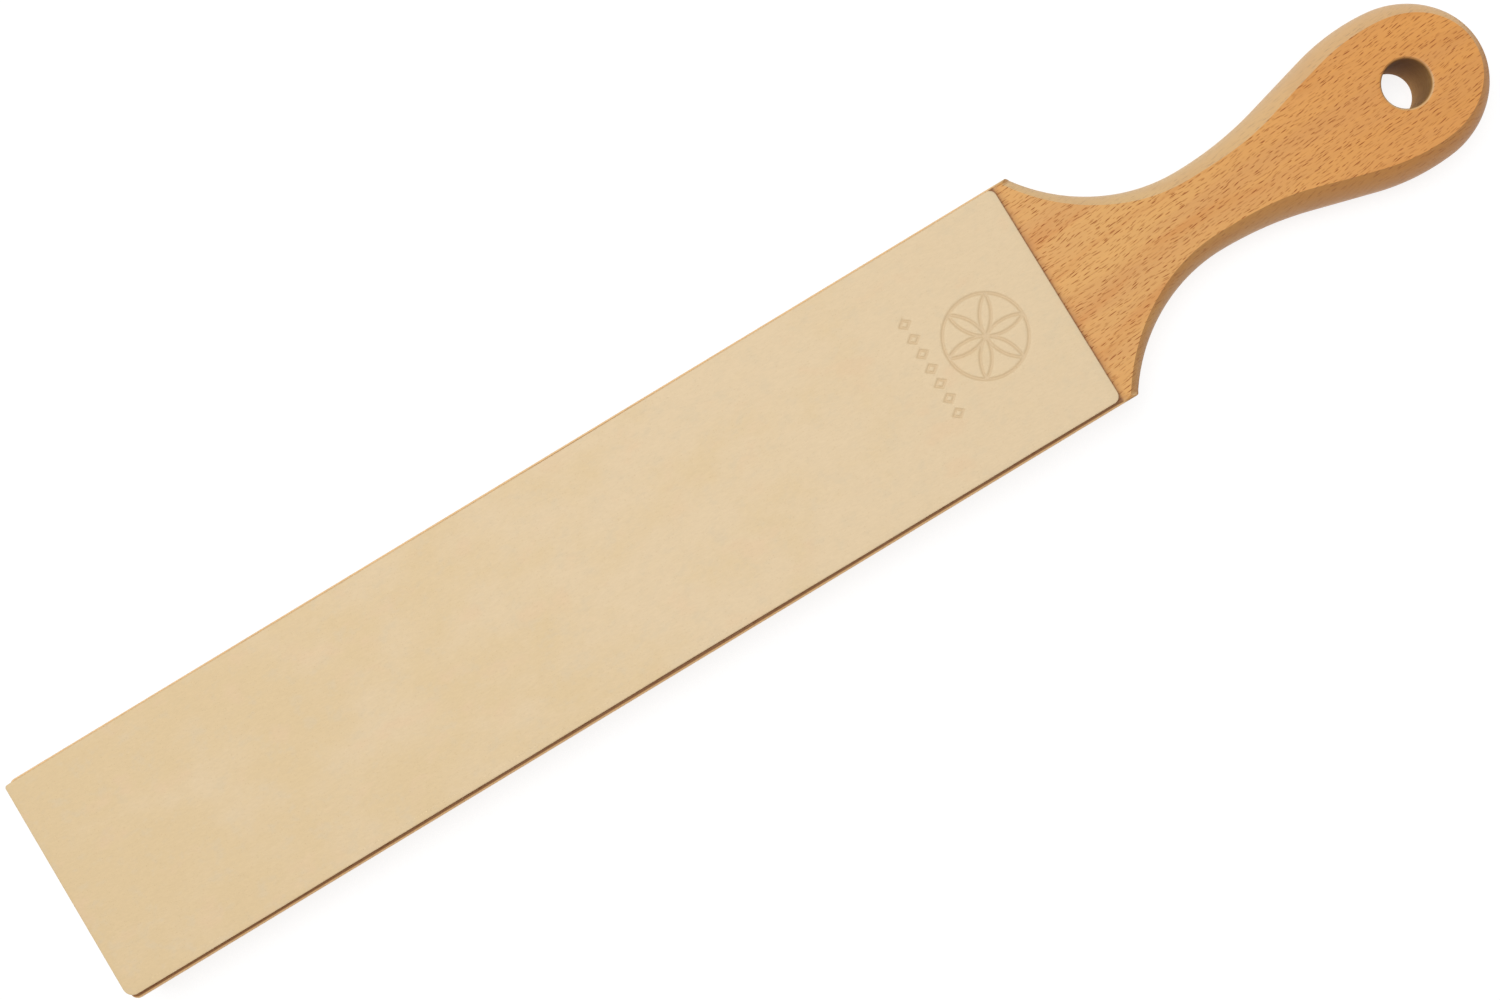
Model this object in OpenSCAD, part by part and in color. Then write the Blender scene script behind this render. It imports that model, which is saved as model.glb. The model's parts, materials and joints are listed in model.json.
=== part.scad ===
// Paddle strop: a one-piece beech paddle with a panel of vegetable-tanned leather
// glued to the front of its blade. Millimetres, lying flat with the leather upward.
// The origin is under the middle of the paddle, and the handle points along +X.

/* [Paddle] */
// Overall length, from the blade's end to the handle's tip
overall_length = 500; // [490:1:510]
// Distance from the blade's end to the two shoulder corners
blade_length = 355.8; // [346:0.2:362]
// Width of the blade
blade_width = 77; // [76.6:0.2:80]
// Thickness of the board that the paddle is cut from
board_thickness = 20; // [16:0.5:24]
// Radius of the blade's two end corners, seen from above
end_corner_radius = 2.4; // [2.2:0.2:6]
// Radius of the two shoulder corners, seen from above
shoulder_corner_radius = 2; // [1.4:0.2:2.6]

/* [Handle] */
// Radius of the hollow that runs from each shoulder corner to the neck
shoulder_radius = 56; // [48:1:60]
// Width of the handle at the neck, its narrowest place
neck_width = 27.7; // [25:0.1:30]
// Radius of the gentler hollow between the neck and the knob
flare_radius = 113; // [100:1:125]
// Radius of the knob's flanks
flank_radius = 66; // [52:1:80]
// Width of the knob, the handle's widest place
knob_width = 51.7; // [51.5:0.1:53]
// Radius of the round end of the knob
tip_radius = 25.6; // [24.6:0.1:25.7]

/* [Edge rounding] */
// Height of the handle's rounding, as a multiple of its width
edge_height_ratio = 1.8; // [1:0.1:2.4]
// Rounding of the blade's long edges and end
blade_edge = 1.2; // [0.6:0.1:1.5]
// Rounding of the handle's edges where it leaves the shoulders
shoulder_edge = 3; // [2:0.2:4]
// Rounding of the grip's edges at the neck
grip_edge = 4.6; // [3:0.2:6]
// Rounding of the knob's flank edges
knob_edge = 5.2; // [3:0.2:6]
// Rounding of the edge at the very tip
tip_edge = 3; // [2:0.2:5]

/* [Hanging hole] */
// Diameter of the hole
hole_diameter = 15; // [12:0.5:18]
// Distance from the handle's tip to the hole's centre
hole_setback = 26.8; // [22:0.2:30]
// Rounding of the hole's two rims
hole_rim = 1; // [0.5:0.1:2]

/* [Leather] */
// Length of the leather, which starts flush with the blade's end
leather_length = 349.5; // [320:0.5:352]
// Width of the leather
leather_width = 74.4; // [66:0.2:75.6]
// Thickness of the leather
leather_thickness = 2.6; // [1.6:0.1:4]
// Radius of the leather's corners
leather_corner_radius = 2.3; // [1.5:0.1:6]
// How far the leather lies off the blade's centre line, towards +Y
leather_offset = 0.4; // [0:0.1:0.4]
// Thickness of the contact cement film
cement_thickness = 0.2; // [0.1:0.05:0.3]
// How far the film stays back from the leather's edge
cement_margin = 0.5; // [0.3:0.1:3]

/* [Stamped rosette] */
// Outer diameter of the rosette's border
rosette_diameter = 27; // [20:0.5:32]
// Distance from the leather's handle end to the rosette's centre
rosette_setback = 25; // [18:0.5:30]
// Depth of the blind stamp
stamp_depth = 0.3; // [0.1:0.05:0.5]
// Width of the stamped lines
stamp_line = 0.9; // [0.6:0.1:1.4]
// Number of arcs that make the rosette's petals
arc_count = 6; // [5:1:8]
// Number of lozenges in the row beside the rosette
lozenge_count = 7; // [3:2:9]
// Distance between the middles of neighbouring lozenges
lozenge_pitch = 5.2; // [4:0.1:6]
// Length of a lozenge, along the blade
lozenge_length = 4.6; // [3:0.1:6]
// Width of a lozenge, along the row
lozenge_width = 3.6; // [2.4:0.1:3.8]

/* [Hidden] */
$fn = 96;
blade_end_x = -overall_length / 2;
tip_x = overall_length / 2;
shoulder_x = blade_end_x + blade_length;
blade_half = blade_width / 2;
neck_half = neck_width / 2;
top_of_film = board_thickness + cement_thickness;
top_of_leather = top_of_film + leather_thickness;
leather_mid_x = blade_end_x + leather_length / 2;
hole_x = tip_x - hole_setback;
rosette_x = blade_end_x + leather_length - rosette_setback;
rosette_radius = (rosette_diameter - stamp_line) / 2;
lozenge_x = rosette_x - rosette_diameter / 2 - 5.5;
lozenge_core = 0.5;

// Points in each stretch of half the outline, and rings in each rounded edge.
corner_steps = 4;
shoulder_steps = 18;
flare_steps = 7;
flank_steps = 6;
tip_steps = 14;
edge_rings = 6;
tallest_edge = board_thickness / 2 - 0.6;

// The handle's outline is a chain of arcs, each tangent to the next. The hollows are
// centred outside the wood, above the neck, and the flank and tip arcs inside it.
shoulder_centre_y = neck_half + shoulder_radius;
neck_run = sqrt(pow(shoulder_radius, 2) - pow(shoulder_centre_y - blade_half, 2));
neck_x = shoulder_x + neck_run;
flare_centre_y = neck_half + flare_radius;
tip_centre_x = tip_x - tip_radius;
flank_centre_y = knob_width / 2 - flank_radius;
flank_run = sqrt(pow(flank_radius - tip_radius, 2) - pow(flank_centre_y, 2));
flank_centre_x = tip_centre_x - flank_run;

// A straight stretch joins the flare to the flank, and touches both arcs.
joint_dx = flank_centre_x - neck_x;
joint_dy = flank_centre_y - flare_centre_y;
joint_ratio = (flare_radius + flank_radius) / norm([joint_dx, joint_dy]);
flare_angle = atan2(joint_dy, joint_dx) + asin(joint_ratio);
tip_start_angle = atan2(-flank_centre_y, flank_run);

function direction(angle) = [cos(angle), sin(angle)];
function blend(from, to, share) = from + (to - from) * (1 - cos(180 * share)) / 2;

// A rounded edge is an arc, tangent to the side wall. Where it is taller than wide, it
// meets the flat face in a ridge. Its share is 0 on the wall and 1 on the face.
function handle_height(edge) = min(edge * edge_height_ratio, tallest_edge);
function edge_radius(edge, height) = (pow(edge, 2) + pow(height, 2)) / (2 * edge);
function edge_turn(edge, height, share) = 2 * atan2(edge, height) * share;
function inset(edge, height, share) =
    edge_radius(edge, height) * (1 - cos(edge_turn(edge, height, share)));
function rise(edge, height, share) =
    board_thickness - height + edge_radius(edge, height) * sin(edge_turn(edge, height, share));

// Each station of the outline is [point, outward direction, edge width, edge height].
function blade_corner_stations() = [
    for (i = [0:corner_steps])
    let (angle = 180 - 90 * i / corner_steps,
         radius = end_corner_radius,
         centre = [blade_end_x + radius, blade_half - radius])
    [centre + radius * direction(angle), direction(angle), blade_edge, blade_edge]
];

function shoulder_hollow_stations() = [
    for (i = [1:shoulder_steps])
    let (share = i / shoulder_steps,
         start = atan2(blade_half - shoulder_centre_y, -neck_run),
         angle = start + (-90 - start) * share,
         edge = blend(shoulder_edge, grip_edge, share))
    [[neck_x, shoulder_centre_y] + shoulder_radius * direction(angle),
     -direction(angle), edge, handle_height(edge)]
];

function flare_stations() = [
    for (i = [1:flare_steps])
    let (share = i / flare_steps,
         angle = -90 + flare_angle * share,
         edge = blend(grip_edge, knob_edge, share))
    [[neck_x, flare_centre_y] + flare_radius * direction(angle),
     -direction(angle), edge, handle_height(edge)]
];

function flank_stations() = [
    for (i = [0:flank_steps])
    let (angle = 90 + flare_angle + (tip_start_angle - 90 - flare_angle) * i / flank_steps)
    [[flank_centre_x, flank_centre_y] + flank_radius * direction(angle),
     direction(angle), knob_edge, handle_height(knob_edge)]
];

function tip_stations() = [
    for (i = [1:tip_steps])
    let (share = i / tip_steps,
         angle = tip_start_angle * (1 - share),
         edge = blend(knob_edge, tip_edge, share))
    [[tip_centre_x, 0] + tip_radius * direction(angle),
     direction(angle), edge, handle_height(edge)]
];

// The rounding moves a station inward and up, by its share.
function shrunk(station, share) = let (
    edge = station[2],
    height = station[3],
    flat = station[0] - inset(edge, height, share) * station[1]
) [flat[0], flat[1], rise(edge, height, share)];

// The shoulder corner is a fillet between the inset side and the inset hollow.
function shoulder_corner(share) = let (
    blade_inset = inset(blade_edge, blade_edge, share),
    shoulder_height = handle_height(shoulder_edge),
    hollow = shoulder_radius + inset(shoulder_edge, shoulder_height, share),
    radius = max(shoulder_corner_radius - blade_inset, 1),
    centre_y = blade_half - blade_inset - radius,
    drop = shoulder_centre_y - centre_y,
    run = sqrt(pow(hollow + radius, 2) - pow(drop, 2)),
    last = atan2(drop, run)
) [
    for (i = [0:corner_steps])
    let (along = i / corner_steps,
         spot = [neck_x - run, centre_y] + radius * direction(90 + (last - 90) * along),
         edge = blade_edge + (shoulder_edge - blade_edge) * along,
         height = blade_edge + (shoulder_height - blade_edge) * along)
    [spot[0], spot[1], rise(edge, height, share)]
];

function half_ring(share) = concat(
    [for (station = blade_corner_stations()) shrunk(station, share)],
    shoulder_corner(share),
    [for (station = shoulder_hollow_stations()) shrunk(station, share)],
    [for (station = flare_stations()) shrunk(station, share)],
    [for (station = flank_stations()) shrunk(station, share)],
    [for (station = tip_stations()) shrunk(station, share)]
);

// A whole ring runs clockwise from the blade's end on the +Y side, round the tip and
// back. The tip's own point is on both halves, and is counted once.
function ring(share) = let (half = half_ring(share), last = len(half) - 2) concat(
    half,
    [for (i = [last:-1:0]) [half[i][0], -half[i][1], half[i][2]]]
);
function under(points) = [for (p = points) [p[0], p[1], board_thickness - p[2]]];

module rounded_board() {
    rings = concat(
        [for (k = [edge_rings:-1:0]) under(ring(k / edge_rings))],
        [for (k = [0:edge_rings]) ring(k / edge_rings)]
    );
    count = len(rings[0]);
    top = len(rings) - 1;
    tip = (count - 1) / 2;
    walls = [
        for (k = [0:top - 1], i = [0:count - 1])
        let (j = (i + 1) % count)
        for (face = [
            [k * count + i, (k + 1) * count + j, (k + 1) * count + i],
            [k * count + i, k * count + j, (k + 1) * count + j]
        ]) face
    ];
    // The flat faces are strips from each point of the outline to its mirror image.
    upper_strips = [
        for (i = [0:tip - 1])
        let (across = i + 1 < tip ? [count - 2 - i] : [])
        [for (corner = concat([i, i + 1], across, [count - 1 - i])) top * count + corner]
    ];
    lower_strips = [
        for (strip = upper_strips)
        [for (i = [len(strip) - 1:-1:0]) strip[i] - top * count]
    ];
    polyhedron(
        points = [for (points = rings) each points],
        faces = concat(walls, upper_strips, lower_strips),
        convexity = 6
    );
}

// The shape that rounds one rim of the hole, with its flat side at z = 0.
module rim_cutter() {
    bore_radius = hole_diameter / 2;
    rotate_extrude() difference() {
        translate([bore_radius - 0.5, -hole_rim])
            square([hole_rim + 0.5, hole_rim + 1]);
        translate([bore_radius + hole_rim, -hole_rim])
            circle(hole_rim);
    }
}

module paddle() {
    color([0.85, 0.61, 0.36])
    difference() {
        rounded_board();
        translate([hole_x, 0, -1])
            cylinder(h = board_thickness + 2, d = hole_diameter);
        translate([hole_x, 0, board_thickness])
            rim_cutter();
        translate([hole_x, 0, 0])
            mirror([0, 0, 1])
            rim_cutter();
    }
}

// A flat sheet with round corners, centred on the leather.
module sheet(length, width, thickness, radius) {
    linear_extrude(thickness)
    translate([leather_mid_x, leather_offset]) {
        square([length - 2 * radius, width], center = true);
        square([length, width - 2 * radius], center = true);
        for (x = [-1, 1], y = [-1, 1])
            translate([x * (length / 2 - radius), y * (width / 2 - radius)])
            circle(radius);
    }
}

module cement_film() {
    color([0.80, 0.66, 0.40])
    translate([0, 0, board_thickness])
        sheet(leather_length - 2 * cement_margin, leather_width - 2 * cement_margin,
              cement_thickness, leather_corner_radius - cement_margin);
}

// One stamped line, drawn as a full circle about the origin.
module stamped_circle(radius) {
    difference() {
        circle(radius + stamp_line / 2);
        circle(radius - stamp_line / 2);
    }
}

// A lozenge about the origin, at a share of its full size.
module lozenge(share) {
    polygon(share / 2 * [[lozenge_length, 0], [0, lozenge_width],
                         [-lozenge_length, 0], [0, -lozenge_width]]);
}

// A plain compass-drawn rosette in a ring, with a row of lozenge outlines beside it.
module stamp() {
    translate([rosette_x, leather_offset]) {
        stamped_circle(rosette_radius);
        intersection() {
            circle(rosette_radius);
            for (i = [0:arc_count - 1])
                translate(rosette_radius * direction(360 * i / arc_count))
                stamped_circle(rosette_radius);
        }
    }
    for (i = [0:lozenge_count - 1])
        translate([lozenge_x, leather_offset + (i - (lozenge_count - 1) / 2) * lozenge_pitch])
        difference() {
            lozenge(1);
            lozenge(lozenge_core);
        }
}

module leather() {
    color([0.89, 0.80, 0.65])
    difference() {
        translate([0, 0, top_of_film])
            sheet(leather_length, leather_width, leather_thickness, leather_corner_radius);
        translate([0, 0, top_of_leather - stamp_depth])
            linear_extrude(stamp_depth + 1)
            stamp();
    }
}

paddle();
cement_film();
leather();
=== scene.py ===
"""A leather strop seen from above on a pale light table.

The frame gives the places: the board, the film, the leather and the hanging hole. Each
one is rebuilt here as a finer mesh in the same place, and gets a procedural material.
Lengths are in metres.
"""

import json
import math

import bpy
import numpy as np
from mathutils import Matrix, Vector
from mathutils.geometry import delaunay_2d_cdt


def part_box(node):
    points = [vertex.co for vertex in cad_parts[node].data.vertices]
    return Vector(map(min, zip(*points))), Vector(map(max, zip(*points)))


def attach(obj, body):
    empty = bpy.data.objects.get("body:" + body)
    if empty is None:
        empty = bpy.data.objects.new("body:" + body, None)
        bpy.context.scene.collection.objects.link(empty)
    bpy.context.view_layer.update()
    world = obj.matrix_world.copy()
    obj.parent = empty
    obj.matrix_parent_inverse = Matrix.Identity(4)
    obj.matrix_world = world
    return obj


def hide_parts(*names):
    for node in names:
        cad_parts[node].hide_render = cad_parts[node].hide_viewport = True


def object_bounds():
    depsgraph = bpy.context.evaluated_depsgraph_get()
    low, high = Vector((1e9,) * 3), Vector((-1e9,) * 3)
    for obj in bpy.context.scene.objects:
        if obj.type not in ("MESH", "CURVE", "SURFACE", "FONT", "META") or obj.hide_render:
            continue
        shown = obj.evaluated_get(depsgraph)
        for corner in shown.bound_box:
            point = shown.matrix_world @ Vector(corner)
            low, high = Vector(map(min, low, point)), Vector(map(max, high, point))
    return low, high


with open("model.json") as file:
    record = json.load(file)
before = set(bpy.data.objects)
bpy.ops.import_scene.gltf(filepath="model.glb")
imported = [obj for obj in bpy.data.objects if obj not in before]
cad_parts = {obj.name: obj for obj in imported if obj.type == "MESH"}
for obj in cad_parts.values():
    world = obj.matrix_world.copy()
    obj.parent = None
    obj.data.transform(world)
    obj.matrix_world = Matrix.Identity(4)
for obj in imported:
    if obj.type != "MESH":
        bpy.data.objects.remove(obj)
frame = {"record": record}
cad_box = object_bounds()

MM = 0.001

# ---------------------------------------------------------------- sizes from the frame


def node_box(name):
    """The lowest and highest corners of a CAD node, as two arrays."""
    low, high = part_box(name)
    return np.array(low), np.array(high)


BOARD_LOW, BOARD_HIGH = node_box("paddle")
FILM_LOW, FILM_HIGH = node_box("cement_film")
LEATHER_LOW, LEATHER_HIGH = node_box("leather")
HOLE = next(m for m in frame["record"]["mounts"] if m["name"] == "hanging_hole")

BLADE_END = BOARD_LOW[0]
TIP = BOARD_HIGH[0]
BLADE_HALF = BOARD_HIGH[1]
THICKNESS = BOARD_HIGH[2]
HOLE_X = HOLE["pos_m"][0]
HOLE_RADIUS = HOLE["dims"]["r_mm"] * MM
HOLE_RIM = (THICKNESS - HOLE["dims"]["length_mm"] * MM) / 2

# ---------------------------------------------------------------- the paddle's design

BLADE_LENGTH = 355.8 * MM
END_CORNER_RADIUS = 2.4 * MM
SHOULDER_CORNER_RADIUS = 2 * MM
SHOULDER_RADIUS = 56 * MM
NECK_HALF = 13.85 * MM
FLARE_RADIUS = 113 * MM
FLANK_RADIUS = 66 * MM
KNOB_HALF = 25.85 * MM
TIP_RADIUS = 25.6 * MM

BLADE_EDGE = 1.2 * MM
SHOULDER_EDGE = 3 * MM
GRIP_EDGE = 4.6 * MM
KNOB_EDGE = 5.2 * MM
TIP_EDGE = 3 * MM
EDGE_HEIGHT_RATIO = 1.8
TALLEST_EDGE = THICKNESS / 2 - 0.6 * MM
WEAR = 0.05
WEAR_LENGTH = 21 * MM

# The handle's outline is a chain of tangent arcs. The two hollows are centred outside
# the wood, and the flank and the tip inside it.
SHOULDER_X = BLADE_END + BLADE_LENGTH
HOLLOW_Y = NECK_HALF + SHOULDER_RADIUS
NECK_RUN = math.sqrt(SHOULDER_RADIUS**2 - (HOLLOW_Y - BLADE_HALF) ** 2)
NECK_X = SHOULDER_X + NECK_RUN
FLARE_Y = NECK_HALF + FLARE_RADIUS
TIP_CENTRE_X = TIP - TIP_RADIUS
FLANK_Y = KNOB_HALF - FLANK_RADIUS
FLANK_RUN = math.sqrt((FLANK_RADIUS - TIP_RADIUS) ** 2 - FLANK_Y**2)
FLANK_X = TIP_CENTRE_X - FLANK_RUN
FLARE_TURN = math.atan2(FLANK_Y - FLARE_Y, FLANK_X - NECK_X) + math.asin(
    (FLARE_RADIUS + FLANK_RADIUS) / math.hypot(FLANK_X - NECK_X, FLANK_Y - FLARE_Y)
)
TIP_START = math.atan2(-FLANK_Y, FLANK_RUN)
QUARTER = math.pi / 2


def ease(share):
    """0 to 1 with a soft start and a soft end."""
    return (1 - np.cos(math.pi * share)) / 2


def arc(centre, radius, first, last, steps, outward=1, skip_first=True):
    """Points and outward directions along an arc. A hollow's outward is -1."""
    angles = np.linspace(first, last, steps + 1)[1 if skip_first else 0:]
    directions = np.column_stack([np.cos(angles), np.sin(angles)])
    return np.array(centre) + radius * directions, outward * directions


def straight(start, end, steps, outward):
    """Points strictly between two ends of a straight side."""
    shares = np.linspace(0, 1, steps + 1)[1:-1, None]
    points = np.array(start) * (1 - shares) + np.array(end) * shares
    return points, np.tile(outward, (len(points), 1))


def worn(points):
    """A slow, repeatable wobble along the outline, for hand-worked edges. It is the
    share by which an edge's rounding grows or shrinks."""
    x, y = (points / WEAR_LENGTH).T
    waves = np.sin(x) + 0.6 * np.sin(2.3 * x + 1.7 * y) + 0.4 * np.sin(4.1 * x - y)
    return WEAR * waves / 2


def handle_height(edge):
    """The height of the handle's rounding where it is as wide as edge."""
    return np.minimum(edge * EDGE_HEIGHT_RATIO, TALLEST_EDGE)


def rounding(edge, height, share):
    """How far an edge's rounding goes inward, and its height on the board, at a share
    of 0 on the wall and 1 on the face. It is an arc, tangent to the side wall."""
    radius = (edge**2 + height**2) / (2 * edge)
    turn = 2 * np.arctan2(edge, height) * share
    return radius * (1 - np.cos(turn)), THICKNESS - height + radius * np.sin(turn)


def half_outline(share):
    """Half of the board's outline at one share of the rounded edge, as x, y and z."""
    parts = []

    def add(points, directions, edge, height_of):
        edge = np.broadcast_to(edge, len(points)) * (1 + worn(points))
        inset, level = rounding(edge, height_of(edge), share)
        parts.append(np.column_stack([points - inset[:, None] * directions, level]))

    def blade_height(edge):
        return edge

    corner = END_CORNER_RADIUS
    curve = arc((BLADE_END + corner, BLADE_HALF - corner), corner, math.pi, QUARTER, 8, skip_first=False)
    side_end = (SHOULDER_X - SHOULDER_CORNER_RADIUS, BLADE_HALF)
    side = straight((BLADE_END + corner, BLADE_HALF), side_end, 60, (0, 1))
    add(*curve, BLADE_EDGE, blade_height)
    add(*side, BLADE_EDGE, blade_height)

    # The shoulder corner is a fillet between the inset side and the inset hollow.
    blade_inset, _ = rounding(BLADE_EDGE, BLADE_EDGE, share)
    shoulder_inset, _ = rounding(SHOULDER_EDGE, handle_height(SHOULDER_EDGE), share)
    hollow = SHOULDER_RADIUS + shoulder_inset
    radius = max(SHOULDER_CORNER_RADIUS - blade_inset, 1 * MM)
    centre_y = BLADE_HALF - blade_inset - radius
    drop = HOLLOW_Y - centre_y
    run = math.sqrt((hollow + radius) ** 2 - drop**2)
    points, _ = arc((NECK_X - run, centre_y), radius, QUARTER, math.atan2(drop, run), 8, skip_first=False)
    edge = np.linspace(BLADE_EDGE, SHOULDER_EDGE, len(points))
    height = np.linspace(BLADE_EDGE, handle_height(SHOULDER_EDGE), len(points))
    parts.append(np.column_stack([points, rounding(edge, height, share)[1]]))

    start = math.atan2(BLADE_HALF - HOLLOW_Y, -NECK_RUN)
    hollow_curve = arc((NECK_X, HOLLOW_Y), SHOULDER_RADIUS, start, -QUARTER, 54, -1)
    flare = arc((NECK_X, FLARE_Y), FLARE_RADIUS, -QUARTER, -QUARTER + FLARE_TURN, 18, -1)
    hollows = [(hollow_curve, SHOULDER_EDGE, GRIP_EDGE), (flare, GRIP_EDGE, KNOB_EDGE)]
    for (points, directions), from_edge, to_edge in hollows:
        along = ease(np.linspace(0, 1, len(points) + 1)[1:])
        add(points, directions, from_edge + (to_edge - from_edge) * along, handle_height)
    flank = arc((FLANK_X, FLANK_Y), FLANK_RADIUS, QUARTER + FLARE_TURN, TIP_START, 24, skip_first=False)
    slope = np.array([-math.sin(FLARE_TURN), math.cos(FLARE_TURN)])
    add(*straight(flare[0][-1], flank[0][0], 12, slope), KNOB_EDGE, handle_height)
    add(*flank, KNOB_EDGE, handle_height)
    points, directions = arc((TIP_CENTRE_X, 0), TIP_RADIUS, TIP_START, 0, 48)
    along = ease(np.linspace(0, 1, len(points) + 1)[1:])
    add(points, directions, KNOB_EDGE + (TIP_EDGE - KNOB_EDGE) * along, handle_height)
    return np.vstack(parts)


def board_ring(share, upper):
    """A whole ring round the board. The lower edge mirrors the upper one."""
    half = half_outline(share)
    ring = np.vstack([half, half[-2::-1] * (1, -1, 1)])
    if not upper:
        ring[:, 2] = THICKNESS - ring[:, 2]
    return ring


# ---------------------------------------------------------------- mesh making


def inside(points, loop):
    """Which points lie inside a closed loop, by counting crossings."""
    x, y = points[:, 0], points[:, 1]
    hit = np.zeros(len(points), bool)
    for (x1, y1), (x2, y2) in zip(loop, np.roll(loop, -1, axis=0)):
        crosses = (y1 > y) != (y2 > y)
        if y1 != y2:
            hit ^= crosses & (x < (x2 - x1) * (y - y1) / (y2 - y1) + x1)
    return hit


def clear_of(points, loop, gap):
    """Which points are at least gap away from every corner of a loop."""
    keep = np.ones(len(points), bool)
    for corner in loop:
        keep &= np.hypot(*(points - corner).T) > gap
    return keep


class Shell:
    """Vertices and faces of one closed piece, built ring by ring."""

    def __init__(self):
        self.points = []
        self.faces = []

    def add(self, points):
        first = len(self.points)
        self.points.extend(map(tuple, points))
        return np.arange(first, first + len(points))

    def join(self, lower, upper, flip=False):
        """Quads between two rings with the same count. They face outward when the
        rings run clockwise seen from above."""
        for a, b, c, d in zip(lower, np.roll(lower, -1), np.roll(upper, -1), upper):
            self.faces.append((a, b, c, d)[::-1] if flip else (a, b, c, d))

    def stack(self, rings, flip=False):
        """Joins a list of rings from bottom to top and returns their numbers."""
        numbers = [self.add(ring) for ring in rings]
        for lower, upper in zip(numbers, numbers[1:]):
            self.join(lower, upper, flip)
        return numbers

    def cap(self, ring, spots, height, up=True, hole=None):
        """Fills a ring with triangles through inner spots, round a hole if given."""
        borders = [ring] if hole is None else [ring, hole]
        numbers = list(np.concatenate(borders))
        edges = []
        first = 0
        for border in borders:
            count = len(border)
            edges += [(first + i, first + (i + 1) % count) for i in range(count)]
            first += count
        inner = self.add(np.column_stack([spots, np.broadcast_to(height, len(spots))]))
        numbers += list(inner)
        flat = [Vector(self.points[n][:2]) for n in numbers]
        output = delaunay_2d_cdt(flat, edges, [], 1, 1e-9)
        source = [numbers[origin[0]] for origin in output[3]]
        rim = set() if hole is None else set(hole)
        for a, b, c in output[2]:
            p, q, r = (output[0][n] for n in (a, b, c))
            upward = (q - p).cross(r - p) > 0
            face = (source[a], source[b], source[c])
            if not rim.issuperset(face):
                self.faces.append(face if upward == up else face[::-1])

    def build(self, name, material, shape=None, ridges=()):
        """Makes the object. Edges along the ridges, which are rings, stay sharp."""
        points = np.array(self.points)
        if shape is not None:
            points = shape(points)
        mesh = bpy.data.meshes.new(name)
        mesh.from_pydata(points.tolist(), [], [tuple(int(n) for n in f) for f in self.faces])
        mesh.shade_smooth()
        crisp = {frozenset(pair) for ring in ridges for pair in zip(ring, np.roll(ring, -1))}
        for edge in mesh.edges:
            edge.use_edge_sharp = frozenset(edge.vertices) in crisp
        mesh.materials.append(material)
        piece = bpy.data.objects.new(name, mesh)
        bpy.context.scene.collection.objects.link(piece)
        return piece


def grid_in(loop, step, gap, hole=None):
    """Staggered spots inside a loop, clear of its edge and of a round hole."""
    low, high = loop.min(axis=0), loop.max(axis=0)
    rows = np.arange(low[1] + step / 2, high[1], step)
    spots = []
    for k, y in enumerate(rows):
        xs = np.arange(low[0] + step * (0.5 if k % 2 else 1.0), high[0], step)
        spots.append(np.column_stack([xs, np.full(len(xs), y)]))
    spots = np.vstack(spots)
    spots = spots[inside(spots, loop)]
    spots = spots[clear_of(spots, loop, gap)]
    if hole is not None:
        centre, radius = hole
        spots = spots[np.hypot(*(spots - centre).T) > radius]
    return spots


# ---------------------------------------------------------------- shader helpers


def linear(red, green, blue):
    """A colour from 0 to 255, as the screen shows it, in linear light."""
    return tuple(
        c / 12.92 if c <= 0.04045 else ((c + 0.055) / 1.055) ** 2.4
        for c in (red / 255, green / 255, blue / 255)
    ) + (1.0,)


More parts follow.
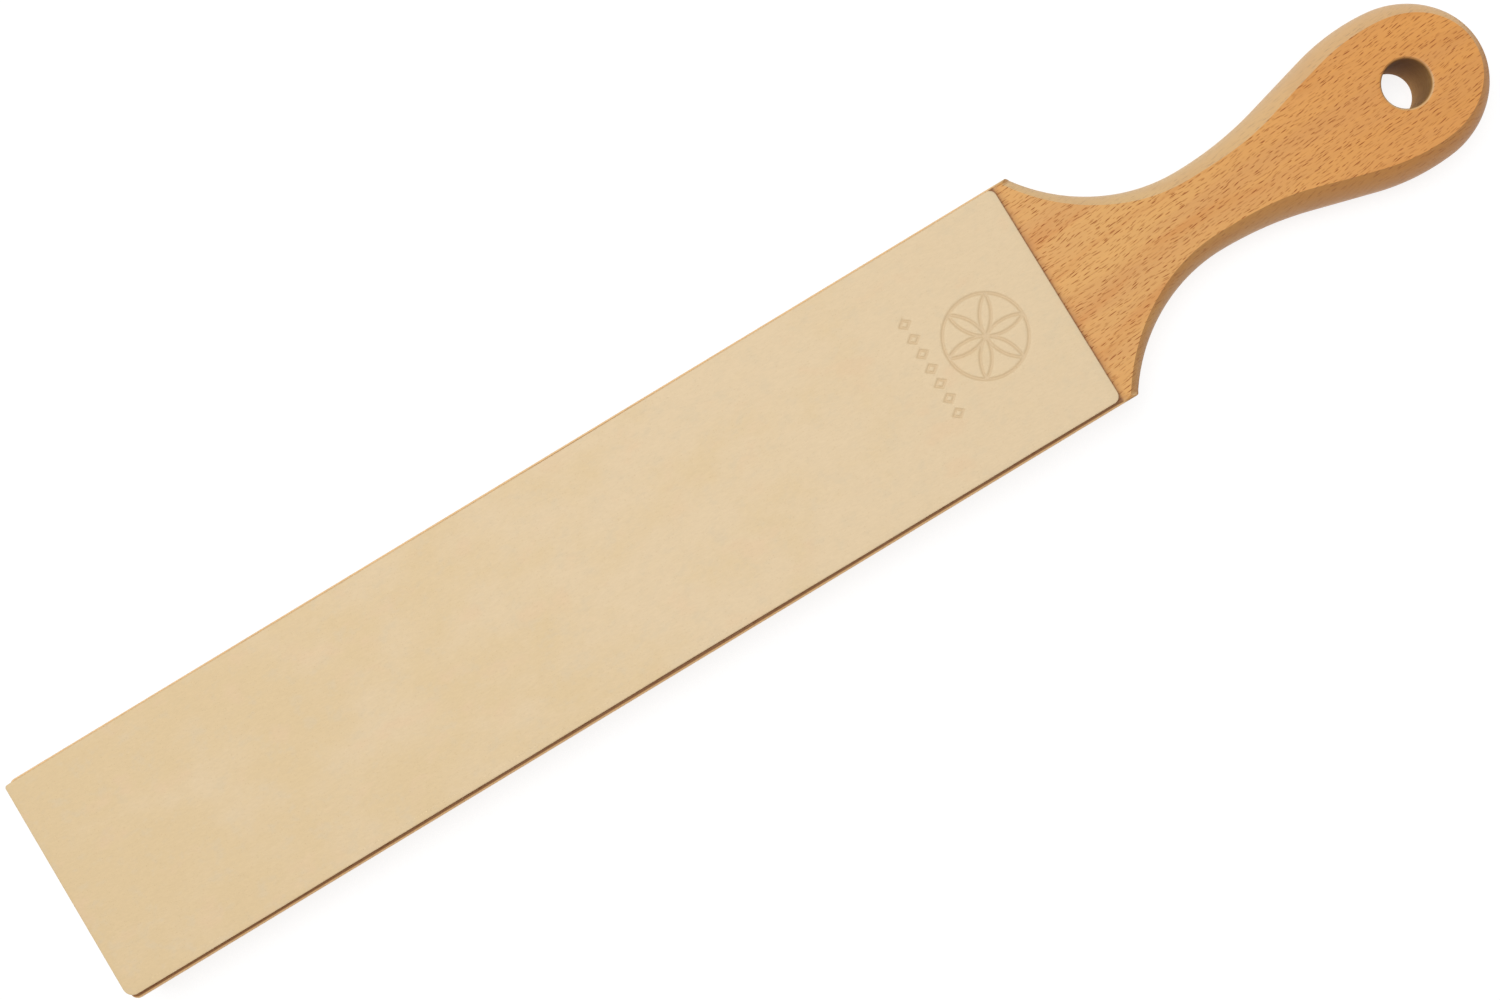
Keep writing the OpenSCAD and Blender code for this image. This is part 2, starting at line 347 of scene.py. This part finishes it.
class Shader:
    """Short calls for the few node types that the materials here use."""

    def __init__(self, name):
        self.material = bpy.data.materials.new(name)
        self.material.use_nodes = True
        self.tree = self.material.node_tree
        self.surface = self.tree.nodes["Principled BSDF"]

    def set(self, socket, value):
        if isinstance(value, bpy.types.NodeSocket):
            self.tree.links.new(value, socket)
        else:
            socket.default_value = value

    def node(self, kind, settings=(), **inputs):
        node = self.tree.nodes.new(kind)
        for key, value in dict(settings).items():
            setattr(node, key, value)
        for key, value in inputs.items():
            self.set(node.inputs[key.replace("_", " ")], value)
        return node

    def math(self, operation, *values):
        node = self.node("ShaderNodeMath", {"operation": operation})
        for socket, value in zip(node.inputs, values):
            self.set(socket, value)
        return node.outputs[0]

    def add(self, a, b):
        return self.math("ADD", a, b)

    def sub(self, a, b):
        return self.math("SUBTRACT", a, b)

    def mul(self, a, b):
        return self.math("MULTIPLY", a, b)

    def vector(self, operation, *values):
        node = self.node("ShaderNodeVectorMath", {"operation": operation})
        for socket, value in zip(node.inputs, values):
            self.set(socket, value)
        return node.outputs["Value" if operation == "LENGTH" else "Vector"]

    def remap(self, value, low, high, to_low=0.0, to_high=1.0):
        """Smooth steps from to_low at low to to_high at high."""
        node = self.node(
            "ShaderNodeMapRange",
            {"interpolation_type": "SMOOTHSTEP"},
            Value=value, From_Min=low, From_Max=high, To_Min=to_low, To_Max=to_high,
        )
        return node.outputs[0]

    def mix(self, share, a, b, blend="MIX"):
        node = self.node("ShaderNodeMix", {"data_type": "RGBA", "blend_type": blend})
        self.set(node.inputs[0], share)
        self.set(node.inputs[6], a)
        self.set(node.inputs[7], b)
        return node.outputs[2]

    def split(self, vector):
        return self.node("ShaderNodeSeparateXYZ", Vector=vector).outputs

    def join(self, x, y, z):
        return self.node("ShaderNodeCombineXYZ", X=x, Y=y, Z=z).outputs[0]

    def place(self):
        """Where a point of the piece is, in millimetres of the frame."""
        spot = self.node("ShaderNodeTexCoord").outputs["Object"]
        return self.vector("MULTIPLY", spot, (1000, 1000, 1000))

    def stretch(self, spot, x, y, z):
        """The same place in units of x, y and z millimetres."""
        return self.vector("DIVIDE", spot, (x, y, z))

    def noise(self, spot, detail=2.0, roughness=0.5):
        node = self.node(
            "ShaderNodeTexNoise", Vector=spot, Scale=1.0, Detail=detail, Roughness=roughness,
        )
        return node.outputs[0]

    def cells(self, spot):
        """The distance and the colour of the nearest point of a cell pattern."""
        node = self.node("ShaderNodeTexVoronoi", Vector=spot, Scale=1.0)
        return node.outputs["Distance"], node.outputs["Color"]

    def bump(self, height, distance):
        node = self.node("ShaderNodeBump", Height=height, Distance=distance, Strength=1.0)
        return node.outputs[0]

    def finish(self, colour, roughness, normal, specular=0.5, **others):
        inputs = self.surface.inputs
        self.set(inputs["Base Color"], colour)
        self.set(inputs["Roughness"], roughness)
        self.set(inputs["Normal"], normal)
        self.set(inputs["Specular IOR Level"], specular)
        for key, value in others.items():
            self.set(inputs[key.replace("_", " ")], value)
        return self.material


# ---------------------------------------------------------------- materials

HONEY = linear(227, 169, 94)
ORANGE = linear(228, 158, 79)


def flecks(shade, spot, cell, half_length, half_width, slant):
    """Ray flecks: short dashes along the grain, one in each cell of a loose grid. The
    rays run through the board, so the pattern is the same at every height."""
    x, y, _ = shade.split(spot)
    leaning = shade.join(x, shade.sub(y, shade.mul(x, slant)), 0.0)
    cells = shade.node(
        "ShaderNodeTexVoronoi", {"voronoi_dimensions": "2D"},
        Vector=shade.vector("DIVIDE", leaning, cell + (1.0,)), Scale=1.0, Randomness=0.8,
    )
    centre = shade.vector("MULTIPLY", cells.outputs["Position"], cell + (1.0,))
    dx, dy, _ = shade.split(shade.vector("SUBTRACT", leaning, centre))
    chance, size, _ = shade.split(cells.outputs["Color"])
    along = shade.math("DIVIDE", dx, shade.mul(half_length, shade.remap(size, 0.0, 1.0, 0.6, 1.3)))
    across = shade.math("DIVIDE", dy, half_width)
    reach = shade.vector("LENGTH", shade.join(along, across, 0.0))
    return shade.mul(shade.remap(reach, 1.25, 0.5), shade.remap(chance, 0.0, 0.8, 0.5, 1.0))


def beech():
    shade = Shader("beech")
    spot = shade.place()
    x, y, z = shade.split(spot)
    normal = shade.node("ShaderNodeNewGeometry").outputs["Normal"]
    facing, leftward, upward = shade.split(normal)

    # The wood is honey-coloured at the shoulders and more orange at the knob.
    wander = shade.noise(shade.stretch(spot, 60.0, 14.0, 14.0), detail=2.0)
    towards_knob = shade.remap(x, 120.0, 225.0)
    colour = shade.mix(towards_knob, HONEY, ORANGE)
    broad = shade.noise(shade.stretch(spot, 90.0, 7.0, 30.0), detail=2.0)
    colour = shade.mix(shade.remap(broad, 0.4, 0.66, 0.0, 0.3), colour, linear(207, 143, 84))

    # Thin growth lines bend towards -Y on both sides of the neck, as the sawn board
    # shows, and only some of them are strong.
    bend = shade.math("POWER", shade.math("DIVIDE", shade.sub(x, 150.0), 66.0), 2.0)
    bend = shade.mul(shade.math("MINIMUM", bend, 2.2), 7.0)
    across = shade.add(shade.add(y, bend), shade.mul(shade.sub(z, 15.6), 1.6))
    across = shade.add(across, shade.mul(shade.sub(wander, 0.5), 12.0))
    line = shade.remap(shade.math("SINE", shade.math("DIVIDE", across, 1.9)), -0.4, 1.0)
    strong = shade.noise(shade.stretch(shade.join(x, across, z), 45.0, 5.0, 40.0), detail=2.0)
    line = shade.mul(line, shade.remap(strong, 0.46, 0.7, 0.05, 0.6))
    colour = shade.mix(line, colour, linear(211, 137, 62))

    fibre = shade.noise(shade.stretch(spot, 9.0, 0.28, 0.28), detail=3.0, roughness=0.6)
    streak = shade.noise(shade.stretch(spot, 30.0, 1.2, 1.4), detail=2.0)
    tone = shade.add(shade.mul(shade.sub(fibre, 0.5), 0.14), shade.mul(shade.sub(streak, 0.5), 0.12))
    tone = shade.add(tone, 1.0)
    colour = shade.mix(1.0, colour, shade.join(tone, tone, tone), "MULTIPLY")

    warp = shade.noise(shade.stretch(spot, 14.0, 14.0, 14.0), detail=1.0)
    bent = shade.vector("ADD", spot, shade.join(0.0, shade.mul(shade.sub(warp, 0.5), 2.5), 0.0))
    bold = flecks(shade, bent, (3.5, 1.35), 1.35, 0.15, 0.10)
    fine = flecks(shade, shade.vector("ADD", bent, (1.7, 0.9, 0.0)), (3.1, 1.15), 0.95, 0.12, 0.08)
    dash = shade.math("MAXIMUM", bold, shade.mul(fine, 0.65))
    ribbon = shade.noise(shade.stretch(spot, 3.0, 3.0, 4.0), detail=1.0)
    dash = shade.mul(dash, shade.remap(ribbon, 0.3, 0.6, 0.35, 1.0))
    dash = shade.mul(dash, shade.remap(shade.math("ABSOLUTE", upward), 0.4, 1.0, 0.3, 1.0))
    colour = shade.mix(shade.mul(dash, 0.95), colour, linear(158, 78, 20))

    # The rounded edges are tinted pale and greyish on the +Y side and browner on the -Y
    # side. The tint stands in for a side light that the softbox doesn't give.
    tilted = shade.remap(shade.math("ABSOLUTE", upward), 0.985, 0.93)
    edge_tint = shade.mix(shade.remap(leftward, -0.4, 0.4), linear(146, 100, 58), linear(224, 203, 160))
    colour = shade.mix(shade.mul(tilted, 0.5), colour, edge_tint)

    # The narrow rims beside the leather are painted paler: painted light that lifts them out of the
    # leather's shadow.
    beside = shade.remap(shade.math("ABSOLUTE", y), LEATHER_HIGH[1] / MM - 0.4, LEATHER_HIGH[1] / MM)
    painted_rim_light = shade.mul(shade.mul(beside, shade.remap(x, 102.0, 100.0)), shade.remap(z, 16.0, 18.5))
    colour = shade.mix(shade.mul(painted_rim_light, 0.6), colour, linear(252, 208, 150))

    # A ragged dark line follows the leather's handle end: partly cement, partly a painted contact shadow of
    # the leather's edge that fades out over 3 mm.
    ragged = shade.noise(shade.stretch(spot, 0.9, 0.9, 0.9), detail=3.0, roughness=0.7)
    gap = shade.add(shade.sub(x, LEATHER_HIGH[0] / MM), shade.mul(shade.sub(ragged, 0.5), 0.8))
    cement_and_painted_shadow = shade.add(shade.remap(gap, 1.2, 0.2, 0.0, 0.5), shade.remap(gap, 3.0, 0.0, 0.0, 0.35))
    cement_and_painted_shadow = shade.mul(cement_and_painted_shadow, shade.remap(upward, 0.8, 0.95))
    colour = shade.mix(cement_and_painted_shadow, colour, linear(126, 76, 34))

    # End grain is darker, with fine pores, where a surface faces +X or -X.
    end = shade.remap(shade.math("ABSOLUTE", facing), 0.55, 1.0)
    pores, _ = shade.cells(shade.stretch(spot, 0.5, 0.22, 0.22))
    pore = shade.remap(pores, 0.35, 0.1)
    colour = shade.mix(shade.mul(end, 0.3), colour, linear(178, 118, 66))
    colour = shade.mix(shade.mul(shade.mul(pore, end), 0.35), colour, linear(120, 72, 38))

    # The bored wall is dull and brown. Its +Y side is painted darker: painted shade.
    bored = shade.vector("LENGTH", shade.join(shade.sub(x, HOLE_X / MM), y, 0.0))
    wall = shade.remap(bored, HOLE_RADIUS / MM + 0.5, HOLE_RADIUS / MM + 0.1)
    turned = shade.noise(shade.stretch(spot, 3.0, 3.0, 0.35), detail=2.0)
    bore_tint = shade.mix(turned, linear(150, 104, 52), linear(190, 146, 84))
    bore_tint = shade.mix(shade.remap(y, -2.0, 7.0, 0.0, 0.7), bore_tint, linear(92, 56, 26))
    colour = shade.mix(shade.mul(wall, 0.9), colour, bore_tint)

    roughness = shade.add(shade.mul(fibre, 0.16), 0.38)
    roughness = shade.add(roughness, shade.mul(dash, 0.12))
    roughness = shade.add(roughness, shade.mul(shade.math("MAXIMUM", end, wall), 0.4))
    relief = shade.sub(shade.mul(fibre, 0.7), shade.mul(dash, 0.9))
    relief = shade.sub(relief, shade.mul(shade.mul(pore, end), 0.8))
    relief = shade.add(relief, shade.mul(shade.mul(turned, wall), 1.2))
    return shade.finish(colour, roughness, shade.bump(relief, 0.06 * MM), specular=0.4)


def strop_leather():
    shade = Shader("strop_leather")
    spot = shade.place()
    x, y, z = shade.split(spot)

    # Ragged patches of a yellower and a pinker tan: mostly yellow at the blade's end and
    # mostly pink towards the handle.
    cloud = shade.noise(shade.stretch(spot, 26.0, 20.0, 20.0), detail=5.0, roughness=0.62)
    along = shade.math("DIVIDE", shade.sub(x, LEATHER_LOW[0] / MM), (LEATHER_HIGH[0] - LEATHER_LOW[0]) / MM)
    share = shade.add(shade.mul(along, 0.75), shade.mul(shade.sub(cloud, 0.5), 1.7))
    colour = shade.mix(shade.remap(share, 0.0, 0.65), linear(226, 199, 154), linear(229, 204, 165))
    mottle = shade.noise(shade.stretch(spot, 5.0, 4.0, 5.0), detail=4.0, roughness=0.65)
    colour = shade.mix(shade.remap(mottle, 0.5, 0.7, 0.0, 0.5), colour, linear(222, 201, 166))
    blotch = shade.noise(shade.stretch(shade.vector("ADD", spot, (90, 40, 0)), 13.0, 9.0, 10.0), detail=4.0)
    colour = shade.mix(shade.remap(blotch, 0.56, 0.72, 0.0, 0.6), colour, linear(230, 200, 160))

    # Fine slanted hair creases and pores.
    leaning = shade.join(shade.add(x, shade.mul(y, 0.7)), y, z)
    crease = shade.noise(shade.stretch(leaning, 1.5, 0.55, 0.8), detail=3.0, roughness=0.6)
    tone = shade.add(shade.mul(shade.sub(crease, 0.5), 0.14), 1.0)
    colour = shade.mix(1.0, colour, shade.join(tone, tone, tone), "MULTIPLY")
    pore_distance, pore_colour = shade.cells(shade.stretch(spot, 0.8, 0.6, 0.7))
    chance, _, _ = shade.split(pore_colour)
    pore = shade.mul(shade.remap(pore_distance, 0.3, 0.08), shade.remap(chance, 0.35, 0.9))
    colour = shade.mix(shade.mul(pore, 0.22), colour, linear(196, 164, 122))

    # Pressed lines are burnished a shade darker.
    pressed = shade.node("ShaderNodeAttribute", {"attribute_name": "pressed"}).outputs["Fac"]
    colour = shade.mix(shade.mul(pressed, 0.55), colour, linear(206, 176, 134))

    # The cut edge shows the fibre side: rougher and browner.
    normal = shade.node("ShaderNodeNewGeometry").outputs["Normal"]
    _, _, upward = shade.split(normal)
    cut = shade.remap(shade.math("ABSOLUTE", upward), 0.75, 0.3)
    nap = shade.noise(shade.stretch(spot, 0.5, 0.5, 0.18), detail=3.0, roughness=0.7)
    edge_colour = shade.mix(nap, linear(200, 154, 104), linear(224, 184, 136))
    colour = shade.mix(cut, colour, edge_colour)

    grain = shade.noise(shade.stretch(spot, 0.9, 0.8, 0.9), detail=4.0, roughness=0.65)
    roughness = shade.add(shade.mul(mottle, 0.14), 0.46)
    roughness = shade.add(roughness, shade.mul(cut, 0.3))
    roughness = shade.sub(roughness, shade.mul(pressed, 0.1))
    relief = shade.add(shade.mul(grain, 0.6), shade.mul(crease, 0.5))
    relief = shade.sub(relief, shade.mul(pore, 0.6))
    relief = shade.add(relief, shade.mul(shade.mul(nap, cut), 2.0))
    return shade.finish(colour, roughness, shade.bump(relief, 0.05 * MM), specular=0.35)


def contact_cement():
    shade = Shader("contact_cement")
    spot = shade.place()
    streak = shade.noise(shade.stretch(spot, 2.5, 1.6, 0.6), detail=3.0)
    colour = shade.mix(streak, linear(150, 98, 50), linear(196, 140, 80))
    roughness = shade.add(shade.mul(streak, 0.25), 0.35)
    return shade.finish(colour, roughness, shade.bump(streak, 0.1 * MM))


def light_table():
    """A pale floor that glows a little, as a product photographer's table does."""
    shade = Shader("light_table")
    spot = shade.place()
    fine = shade.noise(shade.stretch(spot, 1.4, 1.4, 1.4), detail=2.0)
    colour = shade.mix(fine, (0.24, 0.24, 0.24, 1), (0.27, 0.27, 0.27, 1))
    return shade.finish(
        colour, 0.9, shade.bump(fine, 0.02 * MM), specular=0.1,
        Emission_Color=(1, 1, 1, 1), Emission_Strength=FLOOR_GLOW,
    )


# ---------------------------------------------------------------- the pieces


BORE_POINTS = 96


def make_paddle(material):
    """The beech board, with its edges rounded by varying amounts and a bored hole."""
    shell = Shell()
    shares = np.linspace(0, 1, 11)
    rings = [board_ring(share, upper=False) for share in shares[::-1]]
    rings += [rings[-1] * (1, 1, 1 - s) + board_ring(0, True) * (0, 0, s) for s in (0.25, 0.5, 0.75)]
    rings += [board_ring(share, upper=True) for share in shares]
    outer = shell.stack(rings, flip=True)

    # The bore's profile, as radius and height, from the lower face to the upper one.
    profile = [
        (HOLE_RADIUS + HOLE_RIM * (1 - math.cos(a)), HOLE_RIM * (1 - math.sin(a)))
        for a in np.linspace(QUARTER, 0, 6)
    ]
    walls = [(HOLE_RADIUS, HOLE_RIM + (THICKNESS - 2 * HOLE_RIM) * s) for s in (0.2, 0.4, 0.6, 0.8)]
    profile += walls + [(r, THICKNESS - z) for r, z in profile[::-1]]
    around = -np.linspace(0, 2 * math.pi, BORE_POINTS, endpoint=False)
    bore = [
        np.column_stack([HOLE_X + r * np.cos(around), r * np.sin(around), np.full(BORE_POINTS, z)])
        for r, z in profile
    ]
    inner = shell.stack(bore)

    loop = rings[-1][:, :2]
    centre = np.array([HOLE_X, 0])
    reach = HOLE_RADIUS + HOLE_RIM
    hole_rings = [
        centre + radius * np.column_stack([np.cos(turn), np.sin(turn)])
        for radius, turn in [(reach + 1 * MM, around[::2]), (reach + 2.6 * MM, around[::3])]
    ]
    spots = grid_in(loop, 4.5 * MM, 2.2 * MM, (centre, reach + 4 * MM))
    spots = np.vstack([spots] + hole_rings)
    shell.cap(outer[-1], spots, THICKNESS, True, inner[-1])
    shell.cap(outer[0], spots, 0.0, False, inner[0])
    return shell.build("beech_paddle", material, ridges=(outer[0], outer[-1]))


def rounded_rectangle(low, high, radii, inset, step):
    """A clockwise ring round a rectangle with round corners, starting at low x. The
    radii are for the corners at low x and high y, high both, high x and low y, low both."""
    low, high = np.array(low) + inset, np.array(high) - inset
    radii = [max(radius - inset, 0.3 * MM) for radius in radii]
    places = [(low[0], high[1]), (high[0], high[1]), (high[0], low[1]), (low[0], low[1])]
    corners = []
    for k, (x, y) in enumerate(places):
        centre = (x + math.copysign(radii[k], -x), y + math.copysign(radii[k], -y))
        corners.append((centre, math.pi - k * QUARTER))
    points = []
    for k, (centre, first) in enumerate(corners):
        curve, _ = arc(centre, radii[k], first, first - QUARTER, 10, skip_first=False)
        follow, start = corners[(k + 1) % 4]
        reach = radii[(k + 1) % 4]
        next_point = np.array(follow) + reach * np.array([math.cos(start), math.sin(start)])
        count = max(2, round(float(np.hypot(*(next_point - curve[-1]))) / step))
        side, _ = straight(curve[-1], next_point, count, (0, 0))
        points += [curve, side]
    return np.vstack(points)


# The leather's corner radii at low x and high y, high both, high x and low y, low both.
LEATHER_CORNERS = [1.0 * MM, 2.3 * MM, 2.3 * MM, 3.2 * MM]
LEATHER_EDGE = 0.45 * MM
LEATHER_SPREAD = 0.15 * MM
LEATHER_WAVE = 0.3 * MM
LEATHER_ROLL = 0.03 * MM

ROSETTE_RADIUS = 13.05 * MM
ROSETTE_SETBACK = 25 * MM
STAMP_LINE = 0.9 * MM
STAMP_DEPTH = 0.3 * MM
STAMP_SOFTNESS = 0.28 * MM
STAMP_HALF = 17.5 * MM
STAMP_GRID = 0.3 * MM
ARC_COUNT = 6
LOZENGE_COUNT = 7
LOZENGE_PITCH = 5.2 * MM
LOZENGE_LENGTH = 4.6 * MM
LOZENGE_WIDTH = 3.6 * MM
LOZENGE_CORE = 0.5
LOZENGE_GAP = 19 * MM
LOZENGE_BREADTH = LOZENGE_LENGTH * LOZENGE_WIDTH / math.hypot(LOZENGE_LENGTH, LOZENGE_WIDTH) / 2


def stamp_depth(points, centre):
    """How far the blind stamp presses each point in, from 0 to 1: a compass-drawn
    rosette in a ring, and a row of lozenges beside it."""
    spot = points[:, :2] - centre
    from_centre = np.hypot(*spot.T)
    half = STAMP_LINE / 2
    nearest = np.abs(from_centre - ROSETTE_RADIUS) - half
    for k in range(ARC_COUNT):
        angle = 2 * math.pi * k / ARC_COUNT
        petal_centre = ROSETTE_RADIUS * np.array([math.cos(angle), math.sin(angle)])
        line = np.abs(np.hypot(*(spot - petal_centre).T) - ROSETTE_RADIUS) - half
        nearest = np.minimum(nearest, np.maximum(line, from_centre - ROSETTE_RADIUS))
    for k in range(LOZENGE_COUNT):
        offset = np.abs(spot + (LOZENGE_GAP, -(k - (LOZENGE_COUNT - 1) / 2) * LOZENGE_PITCH))
        size = 2 * offset[:, 0] / LOZENGE_LENGTH + 2 * offset[:, 1] / LOZENGE_WIDTH
        outside = np.maximum(size - 1, LOZENGE_CORE - size)
        nearest = np.minimum(nearest, outside * LOZENGE_BREADTH)
    share = np.clip(0.5 - nearest / STAMP_SOFTNESS, 0, 1)
    return share * share * (3 - 2 * share)


def make_leather(material):
    """The leather panel: slightly wavy hand-cut edges, a worn top edge, fine
    undulations and the blind stamp pressed into it."""
    low, high = LEATHER_LOW, LEATHER_HIGH
    shell = Shell()

    def ring(inset, height):
        flat = rounded_rectangle(low[:2], high[:2], LEATHER_CORNERS, inset, 2.5 * MM)
        return np.column_stack([flat, np.full(len(flat), height)])

    rings = [ring(0.25 * MM, low[2]), ring(0, low[2] + 0.15 * MM)]
    wall = high[2] - low[2] - LEATHER_EDGE
    rings += [ring(0, low[2] + wall * share) for share in (0.35, 0.7, 1.0)]
    rings += [
        ring(LEATHER_EDGE * (1 - math.cos(a)), high[2] - LEATHER_EDGE * (1 - math.sin(a)))
        for a in np.linspace(0, QUARTER, 6)[1:]
    ]
    numbers = shell.stack(rings, flip=True)

    centre = np.array([high[0] - ROSETTE_SETBACK, (low[1] + high[1]) / 2])
    stamp_low = centre - (LOZENGE_GAP + 3 * MM, STAMP_HALF)
    stamp_high = centre + (ROSETTE_RADIUS + 2 * MM, STAMP_HALF)
    xs = np.arange(stamp_low[0], stamp_high[0], STAMP_GRID)
    ys = np.arange(stamp_low[1], stamp_high[1], STAMP_GRID)
    dense = np.column_stack([axis.ravel() for axis in np.meshgrid(xs, ys)])
    loop = rings[-1][:, :2]
    coarse = grid_in(loop, 3 * MM, 1.5 * MM)
    away = (coarse < stamp_low - 1 * MM).any(axis=1) | (coarse > stamp_high + 1 * MM).any(axis=1)
    spots = np.vstack([coarse[away], dense])
    shell.cap(numbers[-1], spots, high[2], True)
    shell.cap(numbers[0], grid_in(rings[0][:, :2], 12 * MM, 5 * MM), low[2], False)

    def shape(points):
        """Waves the cut edge, lets the face roll slightly and presses the stamp in."""
        x, y, z = points.T
        middle = (low + high) / 2
        half = (high - low) / 2
        near_side = np.clip((np.abs(y - middle[1]) - (half[1] - 3 * MM)) / (3 * MM), 0, 1)
        wave = 0.22 * np.sin(x / (41 * MM)) + 0.13 * np.sin(x / (17 * MM) + 1.3)
        wave += 0.06 * np.sin(x / (6.5 * MM))
        drift = np.where(y > middle[1], 0, LEATHER_SPREAD) + LEATHER_WAVE * wave
        moved = points.copy()
        moved[:, 1] += np.sign(y - middle[1]) * near_side * drift
        on_top = np.clip((z - low[2]) / (high[2] - low[2]), 0, 1)
        roll = np.sin(x / (23 * MM) + 0.6 * np.sin(y / (11 * MM))) * np.sin(y / (15 * MM) + 0.5)
        moved[:, 2] += on_top * LEATHER_ROLL * (roll - 1)
        moved[:, 2] -= on_top * STAMP_DEPTH * stamp_depth(points, centre)
        return moved

    piece = shell.build("leather_panel", material, shape)
    flat_points = np.array(shell.points)
    pressed = stamp_depth(flat_points, centre) * (flat_points[:, 2] > high[2] - 0.1 * MM)
    attribute = piece.data.attributes.new("pressed", "FLOAT", "POINT")
    attribute.data.foreach_set("value", pressed.astype(np.float32))
    return piece


FILM_CORNER = 1.8 * MM
FILM_RAG = 0.25 * MM


def make_film(material):
    """The cement film, brushed on a little unevenly and kept back from the edge."""
    low, high = FILM_LOW, FILM_HIGH
    shell = Shell()

    def ring(height):
        flat = rounded_rectangle(low[:2], high[:2], [FILM_CORNER] * 4, 0, 2 * MM)
        return np.column_stack([flat, np.full(len(flat), height)])

    rings = [ring(low[2]), ring((low[2] + high[2]) / 2), ring(high[2])]
    numbers = shell.stack(rings, flip=True)
    spots = grid_in(rings[0][:, :2], 12 * MM, 6 * MM)
    shell.cap(numbers[-1], spots, high[2], True)
    shell.cap(numbers[0], spots, low[2], False)

    def shape(points):
        middle = (low + high) / 2
        x, y = points[:, 0], points[:, 1]
        ragged = FILM_RAG * (np.sin(x / (3.1 * MM)) + np.sin(x / (1.3 * MM) + 2)) / 2
        moved = points.copy()
        at_side = np.abs(y - middle[1]) > (high[1] - low[1]) / 2 - 1 * MM
        moved[:, 1] -= np.sign(y - middle[1]) * at_side * (FILM_RAG + ragged)
        return moved

    return shell.build("cement_layer", material, shape)


# ---------------------------------------------------------------- the studio

FLOOR_GLOW = 0.8
FLOOR_REACH = 6.0
FLOOR_GAP = 0.05 * MM
SKY_STRENGTH = 0.3
KEY_SPOT = (-0.15, 0.3, 1.85)
KEY_SIZE = (1.3, 1.5)
KEY_POWER = 27
CAMERA_SPOT = Vector((-8.7, -25.9, 608.6)) * MM
CAMERA_AIM = Vector((-11.8, -5.1, 22.8)) * MM
CAMERA_RIGHT = Vector((0.8556, -0.5171, -0.0229))
LENS = 46.7


def make_camera():
    data = bpy.data.cameras.new("camera")
    data.lens = LENS
    data.sensor_width = 36
    data.clip_start = 0.01
    data.dof.use_dof = False
    camera = bpy.data.objects.new("camera", data)
    back = (CAMERA_SPOT - CAMERA_AIM).normalized()
    right = (CAMERA_RIGHT - back * CAMERA_RIGHT.dot(back)).normalized()
    upward = back.cross(right)
    turn = Matrix((right, upward, back)).transposed()
    camera.matrix_world = Matrix.Translation(CAMERA_SPOT) @ turn.to_4x4()
    bpy.context.scene.collection.objects.link(camera)
    bpy.context.scene.camera = camera


def make_light(name, spot, size, power):
    """A rectangular softbox that faces the middle of the paddle."""
    data = bpy.data.lights.new(name, "AREA")
    data.shape = "RECTANGLE"
    data.size, data.size_y = size
    data.energy = power
    light = bpy.data.objects.new(name, data)
    light.location = spot
    light.rotation_euler = (-Vector(spot)).to_track_quat("-Z", "Y").to_euler()
    bpy.context.scene.collection.objects.link(light)


def make_floor():
    mesh = bpy.data.meshes.new("floor")
    corners = [(x * FLOOR_REACH, y * FLOOR_REACH, 0) for x, y in [(-1, -1), (1, -1), (1, 1), (-1, 1)]]
    mesh.from_pydata(corners, [], [(0, 1, 2, 3)])
    mesh.materials.append(light_table())
    floor = bpy.data.objects.new("floor", mesh)
    floor.location.z = cad_box[0][2] - FLOOR_GAP
    bpy.context.scene.collection.objects.link(floor)


def make_world():
    world = bpy.data.worlds.new("studio")
    world.use_nodes = True
    background = world.node_tree.nodes["Background"]
    background.inputs["Color"].default_value = (1.0, 1.0, 1.0, 1)
    background.inputs["Strength"].default_value = SKY_STRENGTH
    bpy.context.scene.world = world


make_camera()
make_floor()
make_world()
make_light("key_softbox", KEY_SPOT, KEY_SIZE, KEY_POWER)
bpy.context.scene.view_settings.view_transform = "Standard"

paddle = make_paddle(beech())
film = make_film(contact_cement())
leather = make_leather(strop_leather())
for piece, node, slot in [
    (paddle, "paddle", "beech"),
    (film, "cement_film", "contact_cement"),
    (leather, "leather", "strop_leather"),
]:
    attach(piece, "root")
    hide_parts(node)
